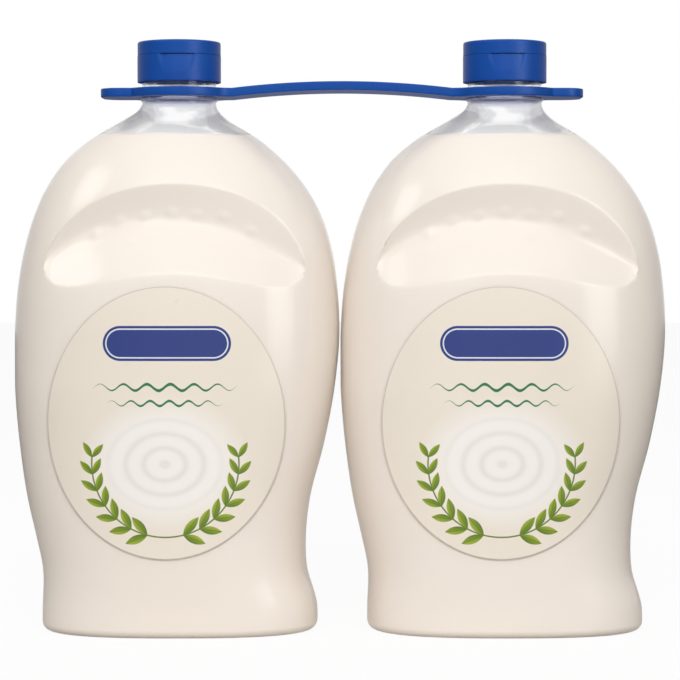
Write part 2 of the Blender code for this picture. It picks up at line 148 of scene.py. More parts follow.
class Graph:
    def __init__(self, tree):
        self.tree = tree

    # any node: its type, its settings, then the values or links of its sockets
    def node(self, kind, settings=None, sockets=None, output=0):
        node = self.tree.nodes.new("ShaderNode" + kind)
        for key, value in (settings or {}).items():
            setattr(node, key, value)
        for key, value in (sockets or {}).items():
            if isinstance(value, tuple) and len(value) == 3 and node.inputs[key].type == "RGBA":
                value = (*value, 1.0)
            plug(self.tree, node.inputs[key], value)
        return Wire(self.tree, node.outputs[output])

    def place(self, kind="Object"):
        return self.node("TexCoord", output=kind)

    def axes(self, vector):
        split = self.node("SeparateXYZ", None, {0: vector}).socket.node
        return [Wire(self.tree, out) for out in split.outputs]

    def noise(self, scale, detail=3.0, rough=0.5):
        sockets = {"Vector": self.place(), "Scale": scale, "Detail": detail, "Roughness": rough}
        return self.node("TexNoise", None, sockets)

    def mix(self, factor, low, high):
        return self.node("Mix", {"data_type": "RGBA"}, {0: factor, 6: low, 7: high}, output=2)

    # 1 for rays of the named kinds, such as Camera, and 0 for the rest
    def rays(self, *kinds):
        path = self.node("LightPath").socket.node
        share = Wire(self.tree, path.outputs["Is " + kinds[0] + " Ray"])
        for kind in kinds[1:]:
            share = share.most(Wire(self.tree, path.outputs["Is " + kind + " Ray"]))
        return share

    def blend(self, share, low, high, end):
        both = self.node("MixShader", None, {0: share, 1: low, 2: high})
        plug(self.tree, self.tree.nodes[end].inputs[0], both)


class Finish(Graph):
    def __init__(self, name, **constants):
        self.material = bpy.data.materials.new(name)
        self.material.use_nodes = True
        super().__init__(self.material.node_tree)
        self.shader = self.tree.nodes["Principled BSDF"]
        for key, value in constants.items():
            self.set(key, value)

    # a socket's name is its words run together, such as baseColor for Base Color
    def set(self, key, value):
        slot = next(s for s in self.shader.inputs if s.name.replace(" ", "").lower() == key.lower())
        if isinstance(value, tuple) and slot.type == "RGBA":
            value = (*value, 1.0)
        plug(self.tree, slot, value)

    def bump(self, height, distance, strength=1.0):
        sockets = {"Height": height, "Distance": distance, "Strength": strength}
        self.set("normal", self.node("Bump", None, sockets))

    # the share sees the other shader in place of the finish itself
    def overlay(self, share, other):
        self.blend(share, Wire(self.tree, self.shader.outputs[0]), other, "Material Output")


# meshes: a shape is a grid of points, rows by columns, worked out as whole arrays


# quads between neighbouring rows, wrapped round the columns, and a fan of triangles at a closed end
def gridFaces(rows, columns, wrapRows=False, firstPole=False, lastPole=False):
    row = np.arange(rows if wrapRows else rows - 1)[:, None]
    column = np.arange(columns)[None, :]
    nextColumn = (column + 1) % columns
    low = row * columns
    high = (row + 1) % rows * columns
    quads = np.stack([low + column, low + nextColumn, high + nextColumn, high + column], axis=-1)
    faces = quads.reshape(-1, 4).tolist()
    around = np.arange(columns)
    following = (around + 1) % columns
    pole = rows * columns
    if firstPole:
        faces += np.stack([following, around, pole + 0 * around], axis=-1).tolist()
    if lastPole:
        top = (rows - 1) * columns
        pole += int(firstPole)
        faces += np.stack([top + around, top + following, pole + 0 * around], axis=-1).tolist()
    return faces


def pieceFrom(name, points, faces, finish, sharp=35.0):
    mesh = bpy.data.meshes.new(name)
    mesh.from_pydata(np.asarray(points, float).reshape(-1, 3).tolist(), [], faces)
    mesh.materials.append(finish.material)
    mesh.shade_smooth()
    mesh.set_sharp_from_angle(angle=math.radians(sharp))
    piece = bpy.data.objects.new(name, mesh)
    bpy.context.scene.collection.objects.link(piece)
    return piece


# rows of (radius, height) turned about a neck axis at x = middle
def turnedPoints(radius, height, angle, middle):
    radius, height, angle = np.broadcast_arrays(radius, height, angle)
    return np.stack([middle + radius * np.cos(angle), radius * np.sin(angle), height], axis=-1)


# a closed profile with each corner rounded: points on the two sides of a corner joined by a quadratic
# curve, and long sides split into steps of about the given one
def roundedProfile(corners, step, cornerPoints=6):
    spots = np.array([c[:2] for c in corners], float)
    rounds = np.array([c[2] for c in corners], float)
    before = np.roll(spots, 1, axis=0) - spots
    after = np.roll(spots, -1, axis=0) - spots
    start = spots + before / np.linalg.norm(before, axis=1)[:, None] * rounds[:, None]
    end = spots + after / np.linalg.norm(after, axis=1)[:, None] * rounds[:, None]
    path = []
    for k in range(len(spots)):
        t = np.linspace(0, 1, cornerPoints if rounds[k] > 0 else 1)[:, None]
        path.append((1 - t) ** 2 * start[k] + 2 * t * (1 - t) * spots[k] + t * t * end[k])
        gap = start[(k + 1) % len(spots)] - end[k]
        count = max(1, int(np.linalg.norm(gap) / step))
        path.append(end[k] + gap * np.linspace(0, 1, count + 1)[1:-1, None])
    return np.concatenate(path)


# the pack's own places, read from the frame

joints = {j["name"]: j for j in frame["joints"]}
sides = {}
for side in ("left", "right"):
    hinge = joints[side + "_lid_open"]["pos_m"]
    sides[side] = {
        "neck": joints[side + "_bottle_swivel"]["pos_m"][0],
        "hingeY": hinge[1],
        "hingeZ": hinge[2],
        "bottle": side + "_bottle",
        "cap": side + "_cap",
        "lid": side + "_lid",
    }
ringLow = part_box("carrier_handle")[0].z
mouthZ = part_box("bottle_left")[1].z
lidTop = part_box("cap_lid_left")[1].z

# bottle: sections of a superellipse up the body, each a height, reaches left and right of the neck axis,
# half depth and squareness, all in mm

bottle = {
    "stations": [
        (8, 66.5, 66.9, 43.2, 2.60), (30, 66.3, 61.6, 44.2, 2.55), (46, 69.6, 61.3, 45.2, 2.50),
        (62, 73.2, 63.1, 46.2, 2.50), (90, 77.3, 70.2, 47.6, 2.45), (118, 79.5, 75.4, 48.4, 2.45),
        (145, 79.4, 77.6, 48.4, 2.40), (165, 78.0, 76.6, 47.4, 2.40), (184, 74.7, 73.8, 45.2, 2.35),
        (202, 69.3, 67.9, 40.6, 2.30), (217, 61.9, 58.9, 35.5, 2.25), (229, 52.4, 47.8, 30.4, 2.20),
        (239, 39.3, 35.3, 25.6, 2.15), (246, 27.0, 23.6, 21.3, 2.10), (251, 19.7, 18.8, 18.9, 2.00),
        (255, 17.95, 17.95, 17.95, 2.00),
    ],
    "columns": 240,
    "wall": 0.9 * mm,
    "neckWall": 1.7 * mm,
    "thinning": 12.0 * mm,     # from the shoulder down to where the body's wall begins
    "corner": 4.0 * mm,
    "land": 4.0 * mm,
    "pushUp": 4.5 * mm,
    "domeReach": 26.0 * mm,    # from the standing ring to the innermost row
    "domeRun": 3.7 * mm,       # over which the push-up makes most of its rise
    "beadHeight": 1.4 * mm,
    "beadReach": 0.6 * mm,
    "threadReach": 0.75 * mm,
    "threadPitch": 4.233 * mm,
    "threadStart": 2.2 * mm,   # below the mouth
    "threadTurns": 1.5,
    "threadHalf": 0.21,        # half the ridge's width as a share of the pitch
    "threadRunOut": 0.12,      # turns over which it rises and runs out
    "threadFoot": 6.0 * mm,    # no thread lower than this above the shoulder
    "mouthEdge": 0.35 * mm,
    "evenPower": 1.15,         # over 1 closes the columns up towards the middle of the front
    "margin": 4.0 * mm,        # the grip's own rows reach this far past its rims
    "neckFoot": 236.0 * mm,    # from here to the bead the rows are closer
    "rows": {
        "dome": 12, "corner": 10, "body": 56, "grip": 62, "shoulder": 12, "flare": 24, "bead": 9, "neck": 56,
    },
}

grip = {
    "side": -0.4 * mm,
    "middle": 193.3 * mm,
    "halfWidth": 61.2 * mm,
    "halfHeight": 21.0 * mm,
    "bow": 18.0 * mm,
    "depth": 8.0 * mm,
    "skew": 0.15,          # the deepest line sits this share of the half height above the middle
    "twist": 0.2,          # what that share gains at the left end and loses at the right
    "floor": 0.25,
    "rim": 0.05,           # how soft the crease is where a wall meets the body
    "foot": 80.0 * mm,     # the rows of points start to bend with the grip this far below its middle
    "head": 50.0 * mm,     # and run level again this far above
    "pinch": 0.4,          # the rows close up to this share of their spread at the grip's ends
    "creaseRows": (-0.9, -0.45, 0.0, 0.45, 0.9),    # rows beside each rim, in mm from it
    "upperDots": [
        (-38, 191.3), (-26.5, 196.9), (-14.3, 199.4), (-1.6, 200.8), (10, 199.9), (23, 198.8), (36, 192),
    ],
    "lowerDots": [(-37.5, 182.8), (-21.1, 186.7), (-10.3, 189), (4, 190)],
    "upperSize": 3.2 * mm,
    "lowerSize": 1.8 * mm,
    "upperRise": 0.7 * mm,
    "lowerRise": 0.4 * mm,
}

stationTable = np.array(bottle["stations"], float)
shoulderZ = stationTable[-1, 0] * mm


# a smooth curve through one column of the stations: a cubic between neighbours with the slope of the two
# beside, nowhere over the column's largest value
def stationCurve(z, column):
    knots = stationTable[:, 0] * mm
    values = stationTable[:, column]
    slopes = np.gradient(values, knots)
    slopes[0] = 0.0
    slopes[-1] = 0.0
    z = np.clip(z, knots[0], knots[-1])
    at = np.clip(np.searchsorted(knots, z) - 1, 0, len(knots) - 2)
    span = knots[at + 1] - knots[at]
    t = (z - knots[at]) / span
    start = (1 + 2 * t) * (1 - t) ** 2 * values[at] + t * (1 - t) ** 2 * span * slopes[at]
    end = t * t * (3 - 2 * t) * values[at + 1] + t * t * (t - 1) * span * slopes[at + 1]
    return np.minimum(start + end, values.max())


# the finger grip: a bowed band with two sloped walls that meet in a rounded floor, less its raised dots
def gripDepth(x, z):
    along = np.clip((x - grip["side"]) / grip["halfWidth"], -1.0, 1.0)
    full = np.sqrt(1 - along**4)
    middle = grip["middle"] - grip["bow"] * along**2
    across = (z - middle) / (grip["halfHeight"] * full + 1e-6)
    skew = grip["skew"] - grip["twist"] * along
    skewed = (across - skew) / np.where(across > skew, 1 - skew, 1 + skew)
    floor = grip["floor"]
    fall = 1 - (np.hypot(skewed, floor) - floor) / (math.hypot(1.0, floor) - floor)
    depth = grip["depth"] * full * (fall + np.hypot(fall, grip["rim"])) / 2
    for row in ("upper", "lower"):
        for dotX, dotZ in grip[row + "Dots"]:
            away = ((x - dotX * mm) ** 2 + (z - dotZ * mm) ** 2) / grip[row + "Size"] ** 2
            depth = depth - grip[row + "Rise"] * np.clip(1 - away, 0.0, 1.0) ** 1.5
    return depth


# points of the bottle's outside at a height and angle: |x|^n + |y|^n = 1 scaled to the reaches, less the
# grip
def bodyPoints(z, angle, inset, widen):
    left, right, depth = (stationCurve(z, column) * mm - inset + widen for column in (1, 2, 3))
    power = 2.0 / stationCurve(z, 4)
    cosine, sine = np.cos(angle), np.sin(angle)
    x = (right - left) / 2 + (right + left) / 2 * np.sign(cosine) * np.abs(cosine) ** power
    y = np.abs(sine) ** power * depth
    y = y - gripDepth(x, z) * np.clip(2 * y / depth, 0.0, 1.0)
    return np.stack([x, np.sign(sine) * y, z + 0.0 * x], axis=-1)


# how far the screw thread stands out: a rounded ridge that climbs one pitch a turn and runs out at both ends
def threadRise(z, angle):
    turns = (mouthZ - bottle["threadStart"] - z) / bottle["threadPitch"]
    offset = (turns + angle / (2 * math.pi)) % 1.0 - 0.5
    position = turns - offset
    ridge = np.clip(1 - (offset / bottle["threadHalf"]) ** 2, 0.0, 1.0) ** 0.7
    runOut = bottle["threadRunOut"]
    ends = np.clip(position / runOut, 0, 1) * np.clip((bottle["threadTurns"] - position) / runOut, 0, 1)
    return bottle["threadReach"] * ridge * ends


# heights of the rows: level at the base and neck, and along the grip's own bowed rims between, so that a
# row lies on each crease. The place along the grip depends on the height, so this is worked out twice
def bentRows(z, angle):
    low, high = grip["middle"] - grip["halfHeight"], grip["middle"] + grip["halfHeight"]
    below = (z - grip["middle"] + grip["foot"]) / (grip["foot"] - grip["halfHeight"])
    above = (grip["middle"] + grip["head"] - z) / (grip["head"] - grip["halfHeight"])
    share = np.clip(np.minimum(below, above), 0.0, 1.0)
    share = share**2 * (3 - 2 * share)
    level = z
    for again in range(2):
        x = bodyPoints(level, angle, 0.0, 0.0)[..., 0]
        along = np.clip((x - grip["side"]) / grip["halfWidth"], -1.0, 1.0)
        spread = np.maximum(np.sqrt(1 - along**4), grip["pinch"])
        closed = (np.clip(z, low, high) - grip["middle"]) * (1 - spread)
        level = z - share * (grip["bow"] * along**2 + closed)
    return level


# heights, insets and widenings of the rows, from the middle of the base to the mouth. The push-up rises
# from the standing ring as 1 - exp(-distance / run); the rows are close in the grip, closest at its rims
def skinRows():
    count = bottle["rows"]
    land = bottle["corner"] + bottle["land"]
    dome = bottle["domeReach"] * np.linspace(1.0, 0.0, count["dome"]) ** 1.5
    corner = np.linspace(0, math.pi / 2, count["corner"])
    rims = grip["middle"] + grip["halfHeight"] * np.array([-1.0, 1.0])
    low, high = rims[0] - bottle["margin"], rims[1] + bottle["margin"]
    body = np.linspace(bottle["corner"], low, count["body"])[1:]
    creases = (rims[:, None] + np.array(grip["creaseRows"]) * mm).ravel()
    hollow = np.linspace(low, high, count["grip"])[1:]
    hollow = hollow[np.abs(hollow[:, None] - rims).min(axis=1) > 1.3 * mm]
    shoulder = np.linspace(high, bottle["neckFoot"], count["shoulder"])[1:]
    flare = np.linspace(bottle["neckFoot"], shoulderZ, count["flare"])[1:]
    rows = [(bottle["pushUp"] * (1 - math.exp(-d / bottle["domeRun"])), land + d, 0.0) for d in dome]
    bend = bottle["corner"]
    rows += [(bend * (1 - math.cos(a)), bend * (1 - math.sin(a)), 0.0) for a in corner]
    rows += [(z, 0.0, 0.0) for z in np.sort(np.concatenate([body, hollow, creases, shoulder, flare]))]
    for a in np.linspace(0, math.pi, count["bead"])[1:]:
        swell = bottle["beadReach"] * math.sin(a) ** 0.6
        rows.append((shoulderZ + bottle["beadHeight"] * (1 - math.cos(a)) / 2, 0.0, swell))
    neck = np.linspace(shoulderZ + bottle["beadHeight"], mouthZ - 0.3 * mm, count["neck"])[1:]
    rows += [(z, 0.0, 0.0) for z in neck]
    rows += [(mouthZ, bottle["mouthEdge"], 0.0)]
    return np.array(rows)


# outward normals of a grid that wraps round its columns: the cross product of its two directions
def gridNormals(points):
    around = np.roll(points, -1, axis=1) - np.roll(points, 1, axis=1)
    up = np.gradient(points, axis=0)
    normal = np.cross(around, up)
    return normal / (np.linalg.norm(normal, axis=-1, keepdims=True) + 1e-12)


rowTable = skinRows()
# angles that put the points evenly across the flat front and back: the cosine of the new angle is that of
# the even one raised to a power
evenAngle = np.linspace(0, 2 * math.pi, bottle["columns"], endpoint=False)[None, :]
newCosine = np.sign(np.cos(evenAngle)) * np.abs(np.cos(evenAngle)) ** bottle["evenPower"]
newSine = np.sign(np.sin(evenAngle)) * np.sqrt(1 - newCosine**2)
columnAngle = np.arctan2(newSine, newCosine) % (2 * math.pi)
rowZ = bentRows(rowTable[:, :1], columnAngle)
skin = bodyPoints(rowZ, columnAngle, rowTable[:, 1:2], rowTable[:, 2:3])
skinNormal = gridNormals(skin)
middleX = (stationTable[0, 2] - stationTable[0, 1]) / 2 * mm


# the wall thins from the neck into the body
def wallAt(z):
    heights = [shoulderZ - bottle["thinning"], shoulderZ]
    return np.interp(z, heights, [bottle["wall"], bottle["neckWall"]])[..., None]


def makeBottle(name, neckX, finish):
    outer = skin.copy()
    screwed = threadRise(outer[..., 2], columnAngle) * (outer[..., 2] > shoulderZ + bottle["threadFoot"])
    radial = np.stack([np.cos(columnAngle), np.sin(columnAngle), 0 * columnAngle], axis=-1)
    outer = outer + radial * screwed[..., None]
    inner = skin - skinNormal * wallAt(skin[..., 2])
    inner[-1] = inner[-1] * (1, 1, 0) + (0, 0, mouthZ)
    # inside, every second row is enough from the grip up
    dense = int(np.argmax(rowTable[:, 0] > grip["middle"] - grip["halfHeight"] - bottle["margin"]))
    inner = inner[np.r_[0:dense, dense : len(inner) - 1 : 2, len(inner) - 1]][::-1]
    rows = len(outer) + len(inner)
    points = np.concatenate([outer, inner]).reshape(-1, 3)
    poles = [[middleX, 0, bottle["pushUp"]], [middleX, 0, bottle["pushUp"] + bottle["wall"]]]
    faces = gridFaces(rows, bottle["columns"], firstPole=True, lastPole=True)
    return pieceFrom(name, np.concatenate([points, poles]) + (neckX, 0, 0), faces, finish)


# soap: the skin moved in by almost the wall, which the soap wets with no air between, and every row over
# the fill line laid flat on it

soap = {"fill": 238.2 * mm, "gap": -0.1 * mm}


def makeSoap(name, neckX, finish):
    points = skin - skinNormal * (wallAt(skin[..., 2]) + soap["gap"])
    points = points[rowTable[:, 0] < shoulderZ]
    points[..., 2] = np.minimum(points[..., 2], soap["fill"])
    rows = len(points)
    low = bottle["pushUp"] + bottle["wall"] + soap["gap"]
    poles = [[middleX, 0, low], [0, 0, soap["fill"]]]
    faces = gridFaces(rows, bottle["columns"], firstPole=True, lastPole=True)
    return pieceFrom(name, np.concatenate([points.reshape(-1, 3), poles]) + (neckX, 0, 0), faces, finish)


# label: an oval film on the front of the bottle, rings of points laid on the surface and lifted off it

label = {
    "side": -4.0 * mm,
    "middle": 102.0 * mm,
    "halfWidth": 56.0 * mm,
    "halfHeight": 64.0 * mm,
    "under": 0.06 * mm,
    "over": 0.28 * mm,
    "rings": 40,
    "spokes": 144,
}


def frontPoints(x, z, lift):
    def face(x, z):
        left, right, depth = (stationCurve(z, column) * mm for column in (1, 2, 3))
        share = np.clip(np.abs(x - (right - left) / 2) / ((right + left) / 2), 0, 1)
        squareness = stationCurve(z, 4)
        return -(depth * (1 - share**squareness) ** (1 / squareness) - gripDepth(x, z))

    step = 0.2 * mm
    slopeX = (face(x + step, z) - face(x - step, z)) / (2 * step)
    slopeZ = (face(x, z + step) - face(x, z - step)) / (2 * step)
    normal = np.stack([slopeX, -np.ones_like(slopeX), slopeZ], axis=-1)
    normal = normal / np.linalg.norm(normal, axis=-1, keepdims=True)
    return np.stack([x + 0 * z, face(x, z), z + 0 * x], axis=-1) + normal * lift


def makeLabel(name, neckX, finish):
    share = np.linspace(0, 1, label["rings"] + 1)[1:]
    share = np.concatenate([share, share[::-1]])[:, None]
    lift = np.repeat([label["over"], label["under"]], label["rings"])[:, None, None]
    spoke = -np.linspace(0, 2 * math.pi, label["spokes"], endpoint=False)[None, :]
    x = label["side"] + label["halfWidth"] * share * np.cos(spoke)
    z = label["middle"] + label["halfHeight"] * share * np.sin(spoke)
    points = frontPoints(x, z, lift)
    middle = np.array(label["side"]), np.array(label["middle"])
    centre = [frontPoints(*middle, label[key]) for key in ("over", "under")]
    points = np.concatenate([points.reshape(-1, 3), np.array(centre)])
    faces = gridFaces(len(share), label["spokes"], firstPole=True, lastPole=True)
    piece = pieceFrom(name, points + (neckX, 0, 0), faces, finish)
    # the film's own flat measure: millimetres right of and above its middle
    flat = np.stack([points[:, 0] - label["side"], points[:, 2] - label["middle"]], axis=-1) / mm
    place = piece.data.uv_layers.new(name="flatPlace")
    corner = np.zeros(len(piece.data.loops), int)
    piece.data.loops.foreach_get("vertex_index", corner)
    place.data.foreach_set("uv", flat[corner].ravel())
    return piece


# cap: a skirt with deck and spout, and a lid with its plug, both rounded profiles turned about the neck

cap = {
    "radius": 20.2 * mm,
    "wall": 1.3 * mm,
    "deckZ": 276.9 * mm,
    "height": 12.8 * mm,
    "deck": 1.5 * mm,
    "spoutBore": 3.2 * mm,
    "spoutWall": 1.8 * mm,
    "spoutRise": 1.9 * mm,
    "lidGap": 0.12 * mm,
    "lidInset": 0.1 * mm,
    "lidWall": 1.3 * mm,
    "plugReach": 2.4 * mm,
    "scoopHalfWidth": 9.4 * mm,
    "scoopFootHalfWidth": 6.4 * mm,
    "scoopHeight": 8.8 * mm,
    "scoopDepth": 0.9 * mm,
    "hingeHalfWidth": 5.0 * mm,
    "hingeHeight": 2.0 * mm,
    "skin": 0.5 * mm,          # points this close to the outside are shaped by the scoop and the hinge land
    "scoopSide": 1.6 * mm,     # over which the scoop fades out at its sides
    "plugPlay": 0.3 * mm,
    "step": 0.4 * mm,
    "segments": 192,
}

capAngle = np.linspace(0, 2 * math.pi, cap["segments"], endpoint=False)[None, :]


# smooth step from 0 at low to 1 at high
def eased(value, low, high):
    t = np.clip((value - low) / (high - low), 0, 1)
    return t * t * (3 - 2 * t)


# the skirt's radius less the thumb scoop, deepest at the seam, and grown to the hinge land behind
def skirtRadius(radius, height, angle, seam, upward):
    outside = radius > cap["radius"] - cap["skin"]
    front = ((angle + math.pi / 2 + math.pi) % (2 * math.pi) - math.pi) * cap["radius"]
    down = np.clip((seam - height) / cap["scoopHeight"], 0, 1)
    half = cap["scoopHalfWidth"] + (cap["scoopFootHalfWidth"] - cap["scoopHalfWidth"]) * down**1.5
    scoop = cap["scoopDepth"] * (1 - down) ** 1.3 * eased(half - np.abs(front), 0.0, cap["scoopSide"])
    if upward:
        scoop = 0 * scoop
    back = (angle - math.pi / 2) * cap["radius"]
    flat = sides["left"]["hingeY"] / np.maximum(np.cos(np.clip(angle - math.pi / 2, -1, 1)), 0.2)
    acrossLand = eased(cap["hingeHalfWidth"] - np.abs(back), 0.0, 0.5 * mm)
    upLand = eased(cap["hingeHeight"] - np.abs(height - seam), 0.0, 0.6 * mm)
    land = acrossLand * upLand
    return np.where(outside, radius - scoop + (flat - radius) * land, radius)


def makeTurned(name, neckX, profile, finish, upward, poles=None):
    radius = profile[:, :1]
    height = profile[:, 1:]
    seam = cap["deckZ"] + (cap["lidGap"] if upward else 0)
    radius = skirtRadius(radius, height, capAngle, seam, upward)
    points = turnedPoints(radius, height, capAngle, 0.0).reshape(-1, 3)
    if poles:
        points = np.concatenate([points, [[0, 0, z] for z in poles]])
    closed = bool(poles)
    faces = gridFaces(len(profile), cap["segments"], wrapRows=not closed, firstPole=closed, lastPole=closed)
    return pieceFrom(name, points + (neckX, 0, 0), faces, finish, sharp=40.0)


def capBaseProfile():
    outer, deck = cap["radius"], cap["deckZ"]
    inner, foot = outer - cap["wall"], deck - cap["height"]
    bore, spout = cap["spoutBore"], cap["spoutBore"] + cap["spoutWall"]
    corners = [
        (bore, deck + cap["spoutRise"], 0.25 * mm),
        (bore, deck - cap["deck"], 0.2 * mm),
        (inner, deck - cap["deck"], 0.4 * mm),
        (inner, foot, 0.3 * mm),
        (outer, foot, 0.35 * mm),
        (outer, deck, 0.12 * mm),
        (spout, deck, 0.5 * mm),
        (spout, deck + cap["spoutRise"], 0.5 * mm),
    ]
    return roundedProfile(corners, cap["step"])


# from the pole under the plug's tip round to the pole on the lid's top
def capLidProfile():
    outer = cap["radius"] - cap["lidInset"]
    inner, low, ceiling = outer - cap["lidWall"], cap["deckZ"] + cap["lidGap"], lidTop - cap["lidWall"]
    plug, tip = cap["spoutBore"] - cap["plugPlay"], cap["deckZ"] + cap["spoutRise"] - cap["plugReach"]
    corners = [
        (1.0 * mm, tip, 0.0),
        (plug, tip, 0.4 * mm),
        (plug, ceiling, 0.5 * mm),
        (inner, ceiling, 0.8 * mm),
        (inner, low, 0.2 * mm),
        (outer, low, 0.12 * mm),
        (outer, lidTop, 1.1 * mm),
        (1.0 * mm, lidTop, 0.0),
    ]
    path = roundedProfile(corners, cap["step"])
    last = int(np.argmin(np.hypot(path[:, 0] - 1.0 * mm, path[:, 1] - lidTop)))
    return path[: last + 1]


# film hinge: a thin strip where the base's land meets the lid's, a squared oval swept along x

filmHinge = {
    "halfLength": 4.4 * mm,
    "halfHeight": 0.75 * mm,
    "halfThickness": 0.14 * mm,
    "setBack": 0.16 * mm,      # of its middle from the joint's axis towards the neck
    "cuts": 24,
    "segments": 36,
}


def makeFilmHinge(name, neckX, place, finish):
    x = np.linspace(-filmHinge["halfLength"], filmHinge["halfLength"], filmHinge["cuts"])[:, None]
    t = np.linspace(0, 2 * math.pi, filmHinge["segments"], endpoint=False)[None, :]
    tall = filmHinge["halfHeight"] * np.sign(np.cos(t)) * np.abs(np.cos(t)) ** 0.25
    thick = filmHinge["halfThickness"] * np.sign(np.sin(t)) * np.abs(np.sin(t)) ** 0.5
    middleY = place["hingeY"] - filmHinge["setBack"]
    points = np.stack([x + 0 * t, middleY + thick + 0 * x, place["hingeZ"] + tall + 0 * x], axis=-1)
    poles = [[x[0, 0], middleY, place["hingeZ"]], [x[-1, 0], middleY, place["hingeZ"]]]
    points = np.concatenate([points.reshape(-1, 3), poles])
    faces = gridFaces(len(x), t.shape[1], firstPole=True, lastPole=True)
    piece = pieceFrom(name, points + (neckX, 0, 0), faces, finish)
    work = bmesh.new()
    work.from_mesh(piece.data)
    bmesh.ops.recalc_face_normals(work, faces=work.faces)
    work.to_mesh(piece.data)
    work.free()
    return piece


# carrier handle: a flat outline with rounded edges, arched between the rings

handle = {
    "thickness": 4.2 * mm,
    "edge": 0.55 * mm,
    "arch": 3.2 * mm,
    "bore": 18.25 * mm,
    "ring": 26.0 * mm,
    "strapHalf": 14.0 * mm,
    "fillet": 9.0 * mm,
    "tabReach": 37.5 * mm,
    "tabHalf": 14.0 * mm,
    "tabRound": 9.0 * mm,
    "archCuts": 40,
    "boreCuts": 120,
}


def arc(centre, radius, start, end, count):
    angle = np.radians(np.linspace(start, end, count))
    return np.stack([centre[0] + radius * np.cos(angle), centre[1] + radius * np.sin(angle)], axis=-1)


# one quarter of the outline: strap side, fillet, ring, tab
def handleQuarter(pitch):
    neck, ring = pitch / 2, handle["ring"]
    rise = handle["strapHalf"] + handle["fillet"]
    run = math.sqrt((ring + handle["fillet"]) ** 2 - rise**2)
    joint = math.degrees(math.atan2(rise, run))
    side = math.degrees(math.asin(handle["tabHalf"] / ring))
    tabX = neck + handle["tabReach"] - handle["tabRound"]
    return np.concatenate([
        arc((neck - run, rise), handle["fillet"], -90, -joint, 12),
        arc((neck, 0), ring, 180 - joint, side, 48)[1:],
        arc((tabX, handle["tabHalf"] - handle["tabRound"]), handle["tabRound"], 90, 0, 16),
    ])


# a closed outline moved inward, square to its own direction
def insetOutline(points, distance):
    along = np.roll(points, -1, axis=0) - np.roll(points, 1, axis=0)
    along = along / np.linalg.norm(along, axis=1, keepdims=True)
    after = np.roll(points, -1, axis=0)
    turn = np.sign(np.sum(points[:, 0] * after[:, 1] - after[:, 0] * points[:, 1]))
    return points + np.stack([-along[:, 1], along[:, 0]], axis=1) * turn * distance


def makeHandle(name, finish):
    left, right = sides["left"]["neck"], sides["right"]["neck"]
    pitch, middle = right - left, (left + right) / 2
    quarter = handleQuarter(pitch)
    half = np.concatenate([quarter, quarter[::-1] * (1, -1)])
    outline = np.concatenate([half, half[::-1] * (-1, 1)])
    keep = np.linalg.norm(outline - np.roll(outline, 1, axis=0), axis=1) > 1e-6
    lastCut = 360 - 360 / handle["boreCuts"]
    loops = [insetOutline(outline[keep], handle["edge"])]
    for neckX in (-pitch / 2, pitch / 2):
        loops.append(arc((neckX, 0), handle["bore"] + handle["edge"], 0, lastCut, handle["boreCuts"]))
    curve = bpy.data.curves.new(name, "CURVE")
    curve.dimensions = "2D"
    curve.fill_mode = "BOTH"
    curve.extrude = handle["thickness"] / 2 - handle["edge"]
    curve.bevel_depth = handle["edge"]
    curve.bevel_resolution = 4
    for loop in loops:
        spline = curve.splines.new("POLY")
        spline.points.add(len(loop) - 1)
        flat = np.concatenate([loop, np.zeros((len(loop), 1)), np.ones((len(loop), 1))], axis=1)
        spline.points.foreach_set("co", flat.ravel())
        spline.use_cyclic_u = True
    holder = bpy.data.objects.new(name + "Curve", curve)
    bpy.context.scene.collection.objects.link(holder)
    bpy.context.view_layer.update()
    mesh = bpy.data.meshes.new_from_object(holder.evaluated_get(bpy.context.evaluated_depsgraph_get()))
    bpy.data.objects.remove(holder)
    work = bmesh.new()
    work.from_mesh(mesh)
    bmesh.ops.remove_doubles(work, verts=work.verts, dist=0.00001)
    span = pitch / 2 - handle["ring"]
    for x in np.linspace(-span, span, handle["archCuts"] + 1):
        parts = work.verts[:] + work.edges[:] + work.faces[:]
        bmesh.ops.bisect_plane(work, geom=parts, plane_co=(x, 0, 0), plane_no=(1, 0, 0))
    bmesh.ops.recalc_face_normals(work, faces=work.faces)
    work.to_mesh(mesh)
    work.free()
    points = np.zeros(len(mesh.vertices) * 3)
    mesh.vertices.foreach_get("co", points)
    points = points.reshape(-1, 3)
    share = np.clip(np.abs(points[:, 0]) / span, 0, 1)
    points[:, 2] += ringLow + handle["thickness"] / 2 + handle["arch"] * (1 - share**2)
    points[:, 0] += middle
    mesh.vertices.foreach_set("co", points.ravel())
    mesh.materials.clear()
    mesh.materials.append(finish.material)
    mesh.shade_smooth()
    mesh.set_sharp_from_angle(angle=math.radians(30))
    piece = bpy.data.objects.new(name, mesh)
    bpy.context.scene.collection.objects.link(piece)
    return piece


# finishes


# a colour as it looks on a screen, 0 to 255 a channel, turned into the light it stands for
def tint(*levels):
    return tuple(((v / 255 + 0.055) / 1.055) ** 2.4 if v > 10 else v / 255 / 12.92 for v in levels)


